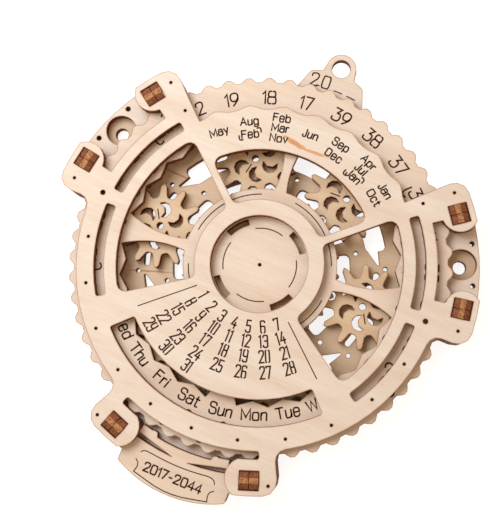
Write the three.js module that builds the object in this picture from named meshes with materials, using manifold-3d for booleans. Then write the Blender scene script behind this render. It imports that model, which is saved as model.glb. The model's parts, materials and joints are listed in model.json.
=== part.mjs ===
// Perpetual desk calendar in laser-cut plywood: four layers held together by six split pegs.
// Millimetres. +Z points at the reader, +Y at the hanging loop, and the calendar lies on its back.
// The origin is on the wheel's axis, at the back face.
import * as THREE from 'three';
import { mergeVertices } from 'three/addons/utils/BufferGeometryUtils.js';
import Module from 'manifold-3d';

const wasm = await Module();
wasm.setup();

// Stock and clearances
const ply = 3;
const layerGap = 0.3;
const runGap = 0.35;
const pegGap = 0.2;
const pegSeam = 0.2;
const overrun = 1;

// Heights of the four layers, from the back
const layerPitch = ply + layerGap;
const backLevel = 0;
const gearLevel = backLevel + layerPitch;
const wheelLevel = gearLevel + layerPitch;
const frontLevel = wheelLevel + layerPitch;
const stackTop = frontLevel + ply;

// Calendar wheel: 28 years and 28 weekday names, two outer teeth to each
const fullAngle = 360;
const halfTurn = fullAngle / 2;
const labelCount = 28;
const wheelTeeth = 2 * labelCount;
const toothAngle = fullAngle / wheelTeeth;
const labelAngle = fullAngle / labelCount;
const wheelTurn = toothAngle;
const wheelTip = 62.5;
const wheelToothDepth = 1.5;
const wheelRoot = wheelTip - wheelToothDepth;
const armCount = 4;
const armWaist = 2.9;
const armHub = 4;
const armRim = 8.4;
const armWaistShare = 0.31;
const notchDepth = 2;
const hubSlotCount = 4;
const hubSlotWidth = 1.95;
const hubSlotInset = 0.4;
const hubSlotAngle = 30;
const axisHole = 0.6;

// Front plate, measured inwards from the wheel's rim
const rimShow = 3;
const frontRadius = wheelTip - rimShow;
const monthDrop = 7.8;
const monthRadius = frontRadius - monthDrop;
const scallopDepth = 1.4;
const scallopPeak = 1.5;
const slotInset = 5.8;
const slotWidth = 3.2;
const slotOuter = frontRadius - slotInset;
const slotInner = slotOuter - slotWidth;
const railWidth = 4.1;
const sideWindowOuter = slotInner - railWidth;
const monthBand = 14.1;
const topWindowOuter = monthRadius - monthBand;
const centreHole = 15.8;
const centreBand = 5.3;
const windowInner = centreHole + centreBand;
const spokeWidth = 2.6;
const windowCorner = 2.8;
const innerCorner = 1.8;
const slotCorner = 0.7;
const dayWindowInset = 1.7;
const dayWindowWidth = 8.6;
const dayWindowOuter = slotOuter - dayWindowInset;
const dayWindowInner = dayWindowOuter - dayWindowWidth;
const dotInset = 3.15;
const dotCircle = frontRadius - dotInset;
const dotRadius = 0.55;
const largeDotRadius = 0.9;
const recessDepth = 2.1;
const recessRadius = frontRadius - recessDepth;

// The wheel's inside follows what shows through the front plate
const hubShow = 4.1;
const hubRadius = windowInner + hubShow;
const rimLip = 2.5;
const rimInner = sideWindowOuter - rimLip;
const hubSlotOuter = centreHole - hubSlotInset;

// Pegs: two strips of the same plywood side by side
const pegWidth = 2 * ply;
const pegDepth = 5.8;
const pegProud = 0.6;
const pegChamfer = 1.7;
const pegChamferRise = 0.9;
const pegFootChamfer = 0.5;
const pegWall = 0.55;
const midLayerInner = wheelTip + runGap;
const pegHoleDepth = pegDepth + 2 * pegGap;
const pegHoleWidth = pegWidth + 2 * pegGap;
const sidePegCircle = midLayerInner + pegWall + pegHoleDepth / 2;
const bottomPegDrop = 2.15;
const bottomPegCircle = sidePegCircle + bottomPegDrop;

// Ears that carry the pegs
const sideEarRim = 2;
const sideEarOuter = sidePegCircle + pegHoleDepth / 2 + sideEarRim;
const bottomEarRim = 1.75;
const bottomEarOuter = bottomPegCircle + pegHoleDepth / 2 + bottomEarRim;
const earCorner = 5;
const flankFillet = 3.5;
const lobeRim = 1.55;
const sideLobeShift = 0.3;
const bottomLobeRim = 2.1;
const bottomLobeShift = 0.65;
const bottomEarGap = 2.55;
const midCorner = 0.8;
const earDotInset = 4.55;
const bottomEarDotInset = 3.15;

// Gear train: one sun, six planets and a loose internal ring in the housing
const sunTeeth = 24;
const planetTeeth = 12;
const ringTeeth = sunTeeth + 2 * planetTeeth;
const housingInset = 2.5;
const housingOuter = wheelTip - housingInset;
const housingWall = 5.65;
const housingInner = housingOuter - housingWall;
const ringWall = 3.5;
const ringOuter = housingInner - runGap;
const ringRoot = ringOuter - ringWall;
const rootRoundShare = 0.3;
const rootSpreadShare = 0.8;
const rootLimitShare = 17 / 18;
const tipRoundShare = 0.4;
const tipFlatShare = 0.5;
const addendumShare = 1;
const dedendumShare = 1.25;
const gearModule = ringRoot / (ringTeeth / 2 + dedendumShare);
const gearPlay = 0.3;
const planetCircle = gearModule * (sunTeeth + planetTeeth) / 2;
const planetBore = 1.15;
const crescentCount = 6;
const crescentCircleShare = 2.7;
const crescentRadiusShare = 1.3;
const crescentShiftShare = 1;
const crescentCircle = gearModule * crescentCircleShare;
const crescentRadius = gearModule * crescentRadiusShare;
const crescentShift = gearModule * crescentShiftShare;
const planetAngles = [0, 60, 115, 180, 240, 300];
const planetTurns = [0, 0, 1, 0, 0, 0];
const pressureAngle = 20;

// Back plate: openings below the gears, as distances from the circle of the planets
const gearWindowIn = 1;
const gearWindowOut = 5.6;
const slotIn = 1.2;
const tailOut = 3.1;
const tailPoint = 0.6;
const axleHole = 1.5;
const topWindowIn = 1.9;
const topWindowOut = 4.5;
const sunWindowIn = 13.5;
const sunWindowOut = 6.7;
const backCorner = 1.6;
const tailCorner = 0.9;
const backDotRadius = 0.8;
const innerDotDrop = 4.4;
const outerDotRise = 5;

// Screw hangers between the side ears: a large hole in the housing over a small one in the back plate
const hangerCircle = 65.6;
const hangerRadius = 5;
const hangerScrew = 2.2;
const hangerDrop = 0.8;
const hangerDotInset = 2.1;

// Spacers below the side ears' lobes, in the wheel's layer
const spacerReach = 5.6;
const spacerCorner = 3;

// Year tab and hanging loop at the top of the housing
const tabFootHalf = 12.9;
const tabFootDrop = 3;
const tabHeadHalf = 9.3;
const tabHeadRise = 7.5;
const tabShoulderHalf = 5.6;
const tabShoulderRise = 1.5;
const tabCorner = 1.5;
const loopRise = 11.35;
const loopHole = 3.1;
const loopWall = 2;

// Name tab below the bottom ears
const nameHalf = 18.5;
const nameReach = 5.7;
const nameBow = 4.45;
const nameCorner = 1;

// Leaf spring cut in the bottom plate of the wheel's layer
const springRelief = 1.45;
const springSlit = 1.5;
const springArm = 1.7;
const springEndWidth = 1.4;
const noseTipHalf = 0.7;
const noseRootHalf = 2;
const noseShoulder = 0.3;

// Directions, in degrees from +X
const earLowAngle = -0.5;
const earHighAngle = 44.8;
const pegLowAngle = 9.2;
const pegHighAngle = 35.9;
const earStepAngle = 0.8;
const dotLowAngle = 3.1;
const dotHighAngle = 41.9;
const hangerAngle = 22.2;
const hangerLowAngle = 16.4;
const hangerHighAngle = 27.8;
const up = fullAngle / 4;
const down = 3 * fullAngle / 4;
const bottomEarAngle = 27.1;
const pegInAngle = 7.4;
const lobeInAngle = 8.5;
const gapInAngle = 4.75;
const dotInAngle = 2.4;
const bottomPegAngle = bottomEarAngle - pegInAngle;
const bottomLobeAngle = bottomEarAngle - lobeInAngle;
const bottomGapAngle = bottomEarAngle - gapInAngle;
const bottomDotAngle = bottomEarAngle - dotInAngle;
const monthAngle = 45.2;
const scallopStepAngle = labelAngle / 6;
const spokeAngle = 48.35;
const windowLowAngle = -33.6;
const dayWindowAngle = 45.1;
const slotHighAngle = 38.7;
const gapHighAngle = 5.5;
const gapLowAngle = 0;
const slotLowAngle = -33.2;
const dotAngle = 15.45;
const dotSteps = 6;
const highDotAngle = 47.9;
const crescentLeadAngle = -6;
const crescentTurnAngle = -80;
const sunRibAngles = [34.5, 90, 145.5, 214.5, 270, 325.5];
const sunRibAngle = 4.2;
const backDotAngles = [20.8, -23.5];
const windowFromAngles = [-13, 3.6, 29.5, -55];
const windowToAngles = [-3.6, 12.5, 51, -33];
const slotFromAngles = [-21, 10.5];
const slotToAngles = [-11, 19];
const tailTipAngles = [22.6, -25.5];
const tailRootAngles = [32, -35];
const highWindowAngle = 14;
const springTipAngle = 2.2;
const noseAngle = 1.5 * toothAngle;
const springEndShare = 0.394;
const springEndAngle = noseAngle + springEndShare * (bottomPegAngle - noseAngle);
const arcAngle = 4.5;
const discSides = 24;
const dotSides = 6;
const cornerSteps = 3;
const crescentSides = 6;

const radians = (degrees) => degrees * Math.PI / halfTurn;
const degrees = (angle) => angle * halfTurn / Math.PI;
const at = (radius, angle) => [radius * Math.cos(radians(angle)), radius * Math.sin(radians(angle))];
const mirrored = (points) => points.map(([x, y]) => [-x, y]).reverse();

// Points along an arc about the origin
function arc(radius, from, to, step = arcAngle) {
  const count = Math.max(1, Math.ceil(Math.abs(to - from) / step));
  return Array.from({ length: count + 1 }, (_, i) => at(radius, from + (to - from) * i / count));
}

function disc(x, y, radius, sides = discSides) {
  return Array.from({ length: sides }, (_, i) => {
    const [dx, dy] = at(radius, fullAngle * i / sides);
    return [x + dx, y + dy];
  });
}

function discAt(circle, angle, radius, sides = discSides) {
  const [x, y] = at(circle, angle);
  return disc(x, y, radius, sides);
}

function sector(inner, outer, from, to) {
  return [...arc(outer, from, to), ...arc(inner, to, from)];
}

// A ring sector whose ends may be straight bars' edges, with a fillet of its own at each corner.
// from(r) and to(r) give the end's direction at a radius; corners are inner-from, outer-from,
// outer-to, inner-to.
function roundedSector(inner, outer, from, to, corners) {
  const [innerFrom, outerFrom, outerTo, innerTo] = corners;
  const points = [];
  const along = (radius, angle, offset) => at(radius, angle + degrees(offset / radius));
  const corner = (edge, side, level, inward, fillet, forward) => {
    const steps = fillet > 0 ? cornerSteps : 0;
    for (let i = 0; i <= steps; i++) {
      const turn = steps ? radians(90) * (forward ? i : steps - i) / steps : 0;
      const radius = level + inward * fillet * (1 - Math.sin(turn));
      const offset = side * fillet * (1 - Math.cos(turn));
      points.push(along(radius, edge(radius), offset));
    }
  };
  corner(from, 1, inner, 1, innerFrom, false);
  corner(from, 1, outer, -1, outerFrom, true);
  const start = from(outer) + degrees(outerFrom / outer);
  const end = to(outer) - degrees(outerTo / outer);
  points.push(...arc(outer, start, end).slice(1, -1));
  corner(to, -1, outer, -1, outerTo, false);
  corner(to, -1, inner, 1, innerTo, true);
  const back = to(inner) - degrees(innerTo / inner);
  const first = from(inner) + degrees(innerFrom / inner);
  points.push(...arc(inner, back, first).slice(1, -1));
  return points.reverse();
}

const radial = (angle) => () => angle;
const barEdge = (angle, half) => (radius) => angle + degrees(Math.asin(half / radius));

// The concave fillet where a radial flank meets a disc, on the side that side points to
function flankFilletAt(radius, angle, side, fillet) {
  const turn = (offset) => angle + side * degrees(offset / radius);
  const points = [at(radius - overrun, angle - side), at(radius - overrun, turn(fillet))];
  for (let i = 0; i <= cornerSteps; i++) {
    const sweep = radians(90) * i / cornerSteps;
    points.push(at(radius + fillet * (1 - Math.cos(sweep)), turn(fillet * (1 - Math.sin(sweep)))));
  }
  points.push(at(radius + fillet, angle - side));
  return side > 0 ? points : points.reverse();
}

// A polygon with a fillet radius at each corner: [x, y, radius]
function filleted(corners) {
  const points = [];
  corners.forEach(([x, y, radius], i) => {
    const before = corners[(i + corners.length - 1) % corners.length];
    const after = corners[(i + 1) % corners.length];
    const here = new THREE.Vector2(x, y);
    const back = new THREE.Vector2(before[0], before[1]).sub(here).normalize();
    const ahead = new THREE.Vector2(after[0], after[1]).sub(here).normalize();
    if (!radius) {
      points.push([x, y]);
      return;
    }
    const half = Math.acos(THREE.MathUtils.clamp(back.dot(ahead), -1, 1)) / 2;
    const centre = back.clone().add(ahead).normalize().multiplyScalar(radius / Math.sin(half)).add(here);
    const start = here.clone().addScaledVector(back, radius / Math.tan(half));
    const end = here.clone().addScaledVector(ahead, radius / Math.tan(half));
    const from = Math.atan2(start.y - centre.y, start.x - centre.x);
    let sweep = Math.atan2(end.y - centre.y, end.x - centre.x) - from;
    sweep = Math.atan2(Math.sin(sweep), Math.cos(sweep));
    for (let k = 0; k <= cornerSteps; k++) {
      const turn = from + sweep * k / cornerSteps;
      points.push([centre.x + radius * Math.cos(turn), centre.y + radius * Math.sin(turn)]);
    }
  });
  return points;
}

// A closed outline as a solid between two levels
function prism(points, from, to) {
  const shape = new THREE.Shape(points.map(([x, y]) => new THREE.Vector2(x, y)));
  const geometry = new THREE.ExtrudeGeometry(shape, { depth: to - from, bevelEnabled: false, steps: 1 });
  geometry.translate(0, 0, from);
  return toSolid(geometry);
}

function toSolid(geometry) {
  const bare = geometry.clone();
  bare.deleteAttribute('normal');
  bare.deleteAttribute('uv');
  const merged = mergeVertices(bare);
  const mesh = new wasm.Mesh({
    numProp: 3,
    vertProperties: new Float32Array(merged.attributes.position.array),
    triVerts: new Uint32Array(merged.index.array),
  });
  return new wasm.Manifold(mesh);
}

function toGeometry(solid) {
  const mesh = solid.getMesh();
  const geometry = new THREE.BufferGeometry();
  geometry.setAttribute('position', new THREE.BufferAttribute(new Float32Array(mesh.vertProperties), 3));
  geometry.setIndex(new THREE.BufferAttribute(new Uint32Array(mesh.triVerts), 1));
  geometry.computeVertexNormals();
  return geometry;
}

// A sheet of plywood: the outlines joined, less the cuts, from its level up
function sheet(level, outlines, cuts) {
  let solid = prism(outlines[0], level, level + ply);
  for (const outline of outlines.slice(1)) solid = solid.add(prism(outline, level, level + ply));
  for (const cut of cuts) solid = solid.subtract(prism(cut, level - overrun, level + ply + overrun));
  return solid;
}

// Peg places, shared by every layer that a peg goes through
const pegs = [
  { name: 'right_upper', circle: sidePegCircle, angle: pegHighAngle },
  { name: 'right_lower', circle: sidePegCircle, angle: pegLowAngle },
  { name: 'left_upper', circle: sidePegCircle, angle: 2 * up - pegHighAngle },
  { name: 'left_lower', circle: sidePegCircle, angle: 2 * up - pegLowAngle },
  { name: 'bottom_left', circle: bottomPegCircle, angle: down - bottomPegAngle },
  { name: 'bottom_right', circle: bottomPegCircle, angle: down + bottomPegAngle },
];

function pegHole({ circle, angle }) {
  const corners = [[-1, -1], [1, -1], [1, 1], [-1, 1]];
  return corners.map(([u, v]) => {
    const [x, y] = [circle + u * pegHoleDepth / 2, v * pegHoleWidth / 2];
    const [c, s] = at(1, angle);
    return [x * c - y * s, x * s + y * c];
  });
}

const pegHoles = pegs.map(pegHole);
const bottomPegHoles = pegs.filter(({ circle }) => circle === bottomPegCircle).map(pegHole);

// The full ear stack as the lower layers have it
function sideEar(inner, outer, innerFillet) {
  const corners = [innerFillet, earCorner, earCorner, innerFillet];
  return roundedSector(inner, outer, radial(earLowAngle), radial(earHighAngle), corners);
}

function bottomEars(inner, innerFillet) {
  const ends = [radial(down - bottomEarAngle), radial(down + bottomEarAngle)];
  return roundedSector(inner, bottomEarOuter, ...ends, [innerFillet, earCorner, earCorner, innerFillet]);
}

// Front plate

function monthEdge() {
  const points = [];
  const end = up + monthAngle;
  for (let angle = up - monthAngle; angle < end; angle += scallopStepAngle) {
    const wave = (1 + Math.cos(radians(fullAngle * (angle - up) / labelAngle))) / 2;
    points.push(at(monthRadius + scallopDepth * (wave ** scallopPeak - 1 / 2), angle));
  }
  return points;
}

function frontPlate() {
  const face = [...monthEdge(), ...arc(frontRadius, up + monthAngle, up + fullAngle - monthAngle)];
  const sideLobe = Math.hypot(pegHoleDepth, pegHoleWidth) / 2 + lobeRim;
  const bottomLobe = Math.hypot(pegHoleDepth, pegHoleWidth) / 2 + bottomLobeRim;
  const root = recessRadius - overrun;
  const upperEar = roundedSector(root, sideEarOuter, radial(pegHighAngle - earStepAngle),
    radial(earHighAngle), [0, 0, earCorner, 0]);
  const lowerEar = roundedSector(root, sideEarOuter, radial(earLowAngle),
    radial(pegLowAngle + earStepAngle), [0, earCorner, 0, 0]);
  const lobes = [pegHighAngle, pegLowAngle]
    .map((angle) => discAt(sidePegCircle + sideLobeShift, angle, sideLobe));
  const bottomEar = roundedSector(root, bottomEarOuter, radial(down + bottomLobeAngle),
    radial(down + bottomEarAngle), [0, 0, earCorner, 0]);
  const bottomDisc = discAt(bottomPegCircle - bottomLobeShift, down + bottomLobeAngle, bottomLobe);
  const fillets = [
    flankFilletAt(frontRadius, earLowAngle, -1, flankFillet),
    flankFilletAt(frontRadius, down + bottomEarAngle, 1, flankFillet),
  ];

  const recess = sector(recessRadius, frontRadius + overrun, pegLowAngle + earStepAngle,
    pegHighAngle - earStepAngle);
  const sideReach = sector(sideEarOuter, sideEarOuter + earCorner, earLowAngle, earHighAngle);
  const bottomReach = sector(bottomEarOuter, bottomEarOuter + earCorner, down, down + bottomEarAngle);
  const bottomGap = roundedSector(frontRadius, frontRadius + bottomEarGap, radial(down - bottomGapAngle),
    radial(down + bottomGapAngle), Array(4).fill(slotCorner));

  const spoke = spokeWidth / 2;
  const topWindow = roundedSector(windowInner, topWindowOuter, barEdge(up - spokeAngle, spoke),
    barEdge(up + spokeAngle, -spoke), [innerCorner, windowCorner, windowCorner, innerCorner]);
  const sideWindow = roundedSector(windowInner, sideWindowOuter, radial(windowLowAngle),
    barEdge(up - spokeAngle, -spoke), [innerCorner, windowCorner, windowCorner, innerCorner]);
  const dayWindow = roundedSector(dayWindowInner, dayWindowOuter, radial(down - dayWindowAngle),
    radial(down + dayWindowAngle), Array(4).fill(slotCorner));
  const arcSlots = [[slotLowAngle, gapLowAngle], [gapHighAngle, slotHighAngle]].map(([from, to]) =>
    roundedSector(slotInner, slotOuter, radial(from), radial(to), Array(4).fill(slotCorner)));

  const dots = [];
  for (let i = -dotSteps; i <= dotSteps; i++) {
    const radius = Math.abs(i) === dotSteps ? largeDotRadius : dotRadius;
    dots.push(discAt(dotCircle, down + i * dotAngle, radius, dotSides));
  }
  const pairedDots = [
    discAt(dotCircle, up - highDotAngle, dotRadius, dotSides),
    discAt(sideEarOuter - earDotInset, dotLowAngle, dotRadius, dotSides),
    discAt(sideEarOuter - earDotInset, dotHighAngle, dotRadius, dotSides),
    discAt(bottomEarOuter - bottomEarDotInset, down + bottomDotAngle, dotRadius, dotSides),
  ];

  const both = (outlines) => [...outlines, ...outlines.map(mirrored)];
  let solid = sheet(frontLevel, [face], both([recess]));
  solid = solid.add(sheet(frontLevel, both([upperEar, lowerEar, bottomEar, ...lobes, bottomDisc,
    ...fillets]), both([sideReach, bottomReach])));
  const holes = [disc(0, 0, centreHole, 2 * discSides), topWindow, dayWindow, bottomGap, ...dots,
    ...both([sideWindow, ...arcSlots, ...pairedDots]), ...pegHoles];
  for (const hole of holes) {
    solid = solid.subtract(prism(hole, frontLevel - overrun, frontLevel + ply + overrun));
  }
  return solid;
}

// Calendar wheel: toothed rim with a notched inner edge, waisted arms and a slotted hub

function wheelOutline() {
  const flanks = [[-0.37, 0], [-0.24, 0.55], [-0.1, 1], [0.1, 1], [0.24, 0.55], [0.37, 0]];
  const points = [];
  for (let tooth = 0; tooth < wheelTeeth; tooth++) {
    for (const [place, rise] of flanks) {
      points.push(at(wheelRoot + wheelToothDepth * rise, (tooth + place) * toothAngle + wheelTurn));
    }
  }
  return points;
}

function armHalf(radius) {
  const waist = hubRadius + armWaistShare * (rimInner - hubRadius);
  const end = radius > waist ? rimInner : hubRadius;
  const flare = radius > waist ? armRim : armHub;
  return (armWaist + (flare - armWaist) * ((radius - waist) / (end - waist)) ** 2) / 2;
}

function wheelWindow(index) {
  const middle = wheelTurn + fullAngle * (index + 0.5) / armCount;
  const half = halfTurn / armCount;
  const armEdge = (radius, side) => middle + side * (half - degrees(Math.asin(armHalf(radius) / radius)));
  const rows = 6;
  const radiusAt = (i) => hubRadius + (rimInner - hubRadius) * i / rows;
  const points = arc(hubRadius, armEdge(hubRadius, 1), armEdge(hubRadius, -1));
  for (let i = 1; i <= rows; i++) points.push(at(radiusAt(i), armEdge(radiusAt(i), -1)));
  const labels = labelCount / armCount;
  for (let i = 0; i < labels; i++) {
    const angle = middle - half + i * labelAngle;
    if (i > 0) points.push(at(rimInner, angle));
    points.push(at(rimInner + notchDepth, angle + labelAngle / 2));
  }
  for (let i = rows; i >= 1; i--) points.push(at(radiusAt(i), armEdge(radiusAt(i), 1)));
  return points;
}

function calendarWheel() {
  const windows = Array.from({ length: armCount }, (_, i) => wheelWindow(i));
  const slots = Array.from({ length: hubSlotCount }, (_, i) => {
    const middle = wheelTurn + fullAngle * (i + 0.5) / hubSlotCount;
    return sector(hubSlotOuter - hubSlotWidth, hubSlotOuter, middle - hubSlotAngle / 2,
      middle + hubSlotAngle / 2);
  });
  return sheet(wheelLevel, [wheelOutline()], [...windows, ...slots, disc(0, 0, axisHole, dotSides)]);
}

// Spacers below the side ears' lobes, in the wheel's layer

function sideSpacer(peg, from, to, corners) {
  const outline = roundedSector(midLayerInner, sideEarOuter, radial(from), radial(to), corners);
  return sheet(wheelLevel, [outline], [pegHole(peg)]);
}

function upperSpacer() {
  const from = pegHighAngle - degrees(spacerReach / sidePegCircle);
  return sideSpacer(pegs[0], from, earHighAngle, [spacerCorner, spacerCorner, earCorner, midCorner]);
}

function lowerSpacer() {
  const to = pegLowAngle + degrees(spacerReach / sidePegCircle);
  return sideSpacer(pegs[1], earLowAngle, to, [midCorner, earCorner, spacerCorner, spacerCorner]);
}

// Name tab outline, shared by the spring plate and the housing below it

function nameTab() {
  const bottom = bottomEarOuter + nameReach;
  const bowRadius = (nameHalf ** 2 + nameBow ** 2) / (2 * nameBow);
  const sweep = degrees(Math.asin(nameHalf / bowRadius));
  const bow = arc(bowRadius, down - sweep, down + sweep, arcAngle)
    .map(([x, y]) => [x, y + bowRadius - bottom]);
  const roof = bottomPegCircle;
  const round = (corner) => [...corner, nameCorner];
  return filleted([[-nameHalf, -roof, 0], round(bow[0]),
    ...bow.slice(1, -1).map(([x, y]) => [x, y, 0]), round(bow[bow.length - 1]), [nameHalf, -roof, 0]]);
}

// Spring plate: a leaf spring's two arms hang from a neck, and their noses reach to the wheel's teeth

function springPlate() {
  const reliefOuter = midLayerInner + springRelief;
  const slitOuter = reliefOuter + springArm + springSlit;
  const angleOf = (length, radius) => degrees(length / radius);
  const endWidth = angleOf(springEndWidth, slitOuter);
  const slit = [
    at(slitOuter, down + springTipAngle),
    ...arc(slitOuter, down + springEndAngle + endWidth, down + springTipAngle, arcAngle).reverse().slice(1),
    at(midLayerInner - wheelToothDepth - overrun, down + springEndAngle + endWidth),
    at(midLayerInner - wheelToothDepth - overrun, down + springEndAngle),
    at(slitOuter - springSlit, down + springEndAngle),
    at(slitOuter - springSlit, down + (springEndAngle + noseAngle) / 2),
  ];
  const relief = [
    ...arc(reliefOuter, down - noseAngle, down + noseAngle),
    ...arc(midLayerInner - overrun, down + noseAngle, down - noseAngle),
  ];
  const shoulder = midLayerInner + noseShoulder;
  const noseRoot = reliefOuter + springArm / 2;
  const nose = [
    at(noseRoot, down + noseAngle - angleOf(noseRootHalf, noseRoot)),
    at(midLayerInner, down + noseAngle - angleOf(noseTipHalf, midLayerInner)),
    at(midLayerInner, down + noseAngle + angleOf(noseTipHalf, midLayerInner)),
    at(noseRoot, down + noseAngle + angleOf(noseRootHalf, noseRoot)),
  ];
  const shoulderHalf = springEndAngle + endWidth / 2;
  const shoulderCut = sector(midLayerInner - overrun, shoulder, down - shoulderHalf, down + shoulderHalf);
  const outline = bottomEars(midLayerInner, midCorner);
  const cuts = [relief, slit, mirrored(slit), shoulderCut, ...bottomPegHoles];
  const noses = sheet(wheelLevel, [nose, mirrored(nose)], []);
  return sheet(wheelLevel, [outline, nameTab()], cuts).add(noses);
}

// Gear outline with involute flanks, round tips and round roots

const involute = (angle) => degrees(Math.tan(angle) - angle);

function gearOutline(teeth, phase, thicken, addendum, dedendum, rounded = true) {
  const pitch = gearModule * teeth / 2;
  const base = pitch * Math.cos(radians(pressureAngle));
  const tip = pitch + addendum * gearModule;
  const root = pitch - dedendum * gearModule;
  const pitchHalf = halfTurn / 2 / teeth + degrees(thicken / 2 / pitch);
  const half = (radius) => {
    const angle = radius > base ? Math.acos(base / radius) : 0;
    return pitchHalf + involute(radians(pressureAngle)) - involute(angle);
  };
  const rootRound = rootRoundShare * gearModule;
  const tipRound = tipRoundShare * gearModule;
  const rootHalf = Math.min(half(root + rootRound) + degrees(rootRound / root) * rootSpreadShare,
    rootLimitShare * halfTurn / teeth);
  const flank = [
    [root, rootHalf],
    [root + rootRound, half(root + rootRound)],
    [tip - tipRound, half(tip - tipRound)],
    [tip, half(tip) * tipFlatShare],
  ];
  if (!rounded) flank.splice(0, 2, [root, half(root + rootRound)]);
  const points = [];
  for (let tooth = 0; tooth < teeth; tooth++) {
    const middle = phase + fullAngle * tooth / teeth;
    for (const [radius, turn] of flank) points.push(at(radius, middle - turn));
    for (const [radius, turn] of [...flank].reverse()) points.push(at(radius, middle + turn));
  }
  return points;
}

// A gap of the sun lies on the wheel's first arm, and each planet and the ring follow from it
const sunGap = wheelTurn;

function sunGear() {
  const phase = sunGap + halfTurn / sunTeeth;
  const outline = gearOutline(sunTeeth, phase, -gearPlay, addendumShare, dedendumShare, false);
  return sheet(gearLevel, [outline], [disc(0, 0, axisHole, dotSides)]);
}

function crescent(angle) {
  const [x, y] = at(crescentCircle, angle + crescentLeadAngle);
  const facing = angle + crescentTurnAngle;
  const [dx, dy] = at(crescentShift, facing + halfTurn);
  const half = degrees(Math.acos(-crescentShift / 2 / crescentRadius));
  const outer = Array.from({ length: crescentSides + 1 }, (_, i) => {
    const [px, py] = at(crescentRadius, facing - half + 2 * half * i / crescentSides);
    return [x + px, y + py];
  });
  const inner = Array.from({ length: 2 }, (_, i) => {
    const [px, py] = at(crescentRadius, facing + (halfTurn - half) * (1 - 2 * (i + 1) / 3));
    return [x + dx + px, y + dy + py];
  });
  return [...outer, ...inner];
}

// Modelled about its own axis; the mesh is placed on the planet circle
function planetGear(place, turn) {
  const tooth = place + halfTurn - 2 * (sunGap - place);
  const outline = gearOutline(planetTeeth, tooth, -gearPlay, addendumShare, dedendumShare);
  const first = tooth + turn * fullAngle / planetTeeth;
  const crescents = Array.from({ length: crescentCount },
    (_, i) => crescent(first + fullAngle * i / crescentCount));
  return sheet(gearLevel, [outline], [disc(0, 0, planetBore, discSides / 2), ...crescents]);
}

function ringGear() {
  const gap = -sunGap / 2;
  const opening = gearOutline(ringTeeth, gap, gearPlay, dedendumShare, addendumShare, false);
  return sheet(gearLevel, [arc(ringOuter, 0, fullAngle - arcAngle)], [opening]);
}

// Centre of a screw hanger, and the dots beside it
const hanger = at(hangerCircle, hangerAngle);
const hangerDots = [hangerLowAngle, hangerHighAngle]
  .map((angle) => discAt(sideEarOuter - hangerDotInset, angle, largeDotRadius, dotSides));

// Housing: the frame around the gears, with the year tab, the loop and the foot of every ear

function housing() {
  const tabFoot = housingOuter - tabFootDrop;
  const tabHead = housingOuter + tabHeadRise;
  const shoulder = tabHead + tabShoulderRise;
  const loopY = housingOuter + loopRise;
  const tab = filleted([
    [-tabFootHalf, tabFoot, 0], [tabFootHalf, tabFoot, 0], [tabHeadHalf, tabHead, tabCorner],
    [tabShoulderHalf, shoulder, 0], [loopHole + loopWall, loopY, 0], [-loopHole - loopWall, loopY, 0],
    [-tabShoulderHalf, shoulder, 0], [-tabHeadHalf, tabHead, tabCorner],
  ]);
  const ear = sideEar(housingInner + overrun, sideEarOuter, 0);
  const fillets = [
    flankFilletAt(housingOuter, earLowAngle, -1, flankFillet),
    flankFilletAt(housingOuter, down + bottomEarAngle, 1, flankFillet),
  ];
  const outlines = [arc(housingOuter, 0, fullAngle - arcAngle), tab, disc(0, loopY, loopHole + loopWall),
    ear, mirrored(ear), ...fillets, ...fillets.map(mirrored), bottomEars(housingInner + overrun, 0),
    nameTab()];
  const recess = disc(...hanger, hangerRadius);
  return sheet(gearLevel, outlines, [arc(housingInner, 0, fullAngle - arcAngle), disc(0, loopY, loopHole),
    recess, mirrored(recess), ...hangerDots, ...hangerDots.map(mirrored), ...pegHoles]);
}

// Back plate: windows behind the gears, ribs to the disc behind the sun

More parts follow.
